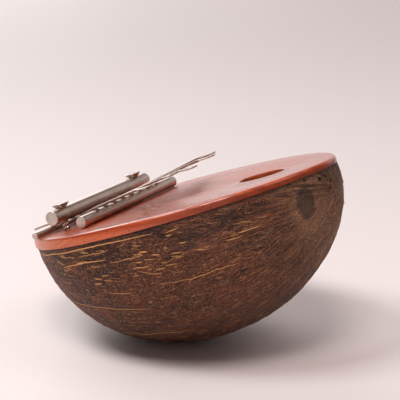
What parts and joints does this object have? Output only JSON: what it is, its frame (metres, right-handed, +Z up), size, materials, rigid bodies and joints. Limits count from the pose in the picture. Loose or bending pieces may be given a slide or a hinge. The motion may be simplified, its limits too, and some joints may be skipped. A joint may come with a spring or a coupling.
{
  "type": "coconut shell kalimba",
  "caption": "Thumb piano made from a halved coconut shell closed by a wooden soundboard, with hammered steel tongues clamped under a screwed-down bar for plucking.",
  "frame": {"origin": "middle of the bounding box's base, where the part stands", "axes": "+Z up, +X along the board towards the sound hole, +Y across the board"},
  "size_m": [0.1286, 0.1082, 0.0788],
  "materials": {
    "shell": "dark brown, scraped and oiled, fibrous",
    "board": "reddish hardwood, satin varnish",
    "block": "raw sawn",
    "rod": "plain drawn steel, satin",
    "screw": "bright plated steel",
    "tine": "hammered spring steel, satin"
  },
  "bodies": {
    "resonator": {"coconut_shell": "shell", "soundboard": "board", "backing_block": "block", "rear_rod": "rod", "bridge_rod": "rod"},
    "clamp": {"pressure_bar": "rod"},
    "near_screw": {"screw_near": "screw"},
    "far_screw": {"screw_far": "screw"},
    "tail_1": {"tine_1_tail": "tine"},
    "tongue_1": {"tine_1_tongue": "tine"},
    "tail_2": {"tine_2_tail": "tine"},
    "tongue_2": {"tine_2_tongue": "tine"},
    "tail_3": {"tine_3_tail": "tine"},
    "tongue_3": {"tine_3_tongue": "tine"},
    "tail_4": {"tine_4_tail": "tine"},
    "tongue_4": {"tine_4_tongue": "tine"},
    "tail_5": {"tine_5_tail": "tine"},
    "tongue_5": {"tine_5_tongue": "tine"},
    "tail_6": {"tine_6_tail": "tine"},
    "tongue_6": {"tine_6_tongue": "tine"},
    "tail_7": {"tine_7_tail": "tine"},
    "tongue_7": {"tine_7_tongue": "tine"},
    "tail_8": {"tine_8_tail": "tine"},
    "tongue_8": {"tine_8_tongue": "tine"}
  },
  "joints": [
    {"name": "clamp_lift", "type": "slide", "parent": "resonator", "child": "clamp", "axis": [-0.3107, 0, 0.9505], "range_m": [0, 0.0028]},
    {"name": "near_screw_turn", "type": "hinge", "parent": "clamp", "child": "near_screw", "pos_m": [-0.0404, -0.029, 0.05766], "axis": [-0.3107, 0, 0.9505], "range_deg": [0, 721]},
    {"name": "far_screw_turn", "type": "hinge", "parent": "clamp", "child": "far_screw", "pos_m": [-0.0404, 0.029, 0.05766], "axis": [-0.3107, 0, 0.9505], "range_deg": [0, 721]},
    {"name": "tine_1_tuning", "type": "slide", "parent": "resonator", "child": "tail_1", "axis": [0.9198, 0, 0.3923], "range_m": [-0.0015, 0.0015]},
    {"name": "tine_2_tuning", "type": "slide", "parent": "resonator", "child": "tail_2", "axis": [0.9198, 0, 0.3923], "range_m": [-0.0015, 0.0015]},
    {"name": "tine_3_tuning", "type": "slide", "parent": "resonator", "child": "tail_3", "axis": [0.9198, 0, 0.3923], "range_m": [-0.0015, 0.0015]},
    {"name": "tine_4_tuning", "type": "slide", "parent": "resonator", "child": "tail_4", "axis": [0.9198, 0, 0.3923], "range_m": [-0.0015, 0.0015]},
    {"name": "tine_5_tuning", "type": "slide", "parent": "resonator", "child": "tail_5", "axis": [0.9198, 0, 0.3923], "range_m": [-0.0015, 0.0015]},
    {"name": "tine_6_tuning", "type": "slide", "parent": "resonator", "child": "tail_6", "axis": [0.9198, 0, 0.3923], "range_m": [-0.0015, 0.0015]},
    {"name": "tine_7_tuning", "type": "slide", "parent": "resonator", "child": "tail_7", "axis": [0.9198, 0, 0.3923], "range_m": [-0.0015, 0.0015]},
    {"name": "tine_8_tuning", "type": "slide", "parent": "resonator", "child": "tail_8", "axis": [0.9198, 0, 0.3923], "range_m": [-0.0015, 0.0015]},
    {"name": "tine_1_pluck", "type": "hinge", "parent": "tail_1", "child": "tongue_1", "pos_m": [-0.02657, -0.0245, 0.05656], "axis": [0, 1, 0], "range_deg": [-3, 5], "stiffness_Nm_per_rad": 3.42},
    {"name": "tine_2_pluck", "type": "hinge", "parent": "tail_2", "child": "tongue_2", "pos_m": [-0.02657, -0.0175, 0.05656], "axis": [0, 1, 0], "range_deg": [-3, 5], "stiffness_Nm_per_rad": 2.52},
    {"name": "tine_3_pluck", "type": "hinge", "parent": "tail_3", "child": "tongue_3", "pos_m": [-0.02657, -0.0105, 0.05656], "axis": [0, 1, 0], "range_deg": [-3, 5], "stiffness_Nm_per_rad": 2.28},
    {"name": "tine_4_pluck", "type": "hinge", "parent": "tail_4", "child": "tongue_4", "pos_m": [-0.02657, -0.0035, 0.05656], "axis": [0, 1, 0], "range_deg": [-3, 5], "stiffness_Nm_per_rad": 2.01},
    {"name": "tine_5_pluck", "type": "hinge", "parent": "tail_5", "child": "tongue_5", "pos_m": [-0.02657, 0.0035, 0.05656], "axis": [0, 1, 0], "range_deg": [-3, 5], "stiffness_Nm_per_rad": 2.16},
    {"name": "tine_6_pluck", "type": "hinge", "parent": "tail_6", "child": "tongue_6", "pos_m": [-0.02657, 0.0105, 0.05656], "axis": [0, 1, 0], "range_deg": [-3, 5], "stiffness_Nm_per_rad": 2.57},
    {"name": "tine_7_pluck", "type": "hinge", "parent": "tail_7", "child": "tongue_7", "pos_m": [-0.02657, 0.0175, 0.05656], "axis": [0, 1, 0], "range_deg": [-3, 5], "stiffness_Nm_per_rad": 3.04},
    {"name": "tine_8_pluck", "type": "hinge", "parent": "tail_8", "child": "tongue_8", "pos_m": [-0.02657, 0.0245, 0.05656], "axis": [0, 1, 0], "range_deg": [-3, 5], "stiffness_Nm_per_rad": 3.83}
  ],
  "couplings": [
    {"joint": "near_screw_turn", "follows": "clamp_lift", "rad_per_m": 4488},
    {"joint": "far_screw_turn", "follows": "clamp_lift", "rad_per_m": 4488}
  ]
}
